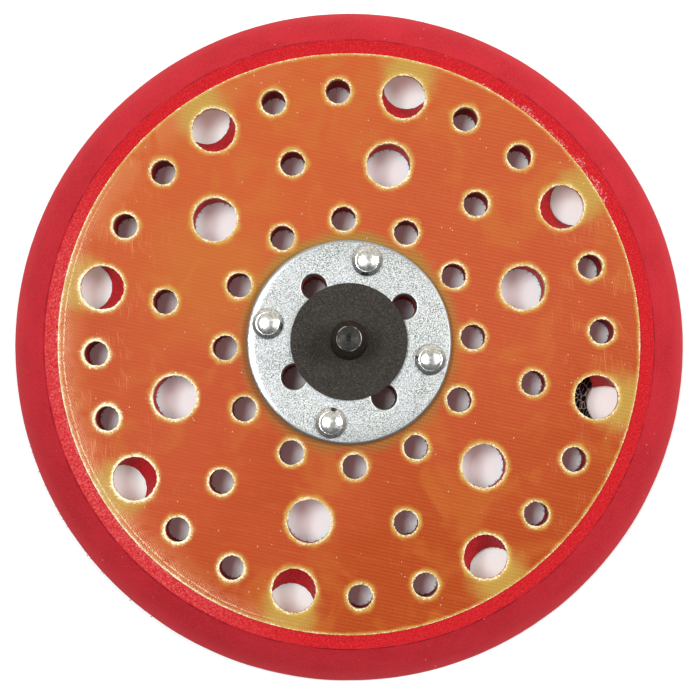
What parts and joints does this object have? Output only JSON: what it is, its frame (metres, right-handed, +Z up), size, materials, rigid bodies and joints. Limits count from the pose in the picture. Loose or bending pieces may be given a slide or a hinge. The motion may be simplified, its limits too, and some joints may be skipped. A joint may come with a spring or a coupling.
{
  "type": "orbital sander backing pad",
  "caption": "Round backing pad for a random orbital sander: hook face, foam body, perforated laminate plate, riveted hub and threaded drive stud.",
  "frame": {"origin": "centre of the hook face, in the plane of the hook tips, on the stud's axis", "axes": "+Z up along the drive stud, away from the hook face; +X through one of the outer large dust holes"},
  "size_m": [0.15, 0.15, 0.0298],
  "materials": {
    "hook_tape": "black woven hook fastener, matt, dense field of small hooks",
    "red_foam": "moulded red polyurethane foam, smooth satin skin on the sloping side, open cells on the rim",
    "amber_laminate": "translucent amber glass fibre laminate with a fine weave and pale fibrous edges",
    "backing_steel": "plain steel sheet",
    "zinc_steel": "bright zinc plating with a speckled grain",
    "stud_steel": "black oxide on threads, bare grey steel on the end",
    "rivet_steel": "bright plated, slightly hammered domes",
    "washer_fibre": "matt dark grey fibre washer with a fine grit"
  },
  "bodies": {
    "pad": {"hook_face": "hook_tape", "foam_body": "red_foam", "laminate_plate": "amber_laminate", "backing_disc": "backing_steel", "hub_plate": "zinc_steel", "drive_stud": "stud_steel", "rivets": "rivet_steel"},
    "washer": {"spacer_washer": "washer_fibre"}
  },
  "joints": [
    {"name": "washer_slide", "type": "slide", "parent": "pad", "child": "washer", "axis": [0, 0, 1], "range_m": [0, 0.016]}
  ]
}
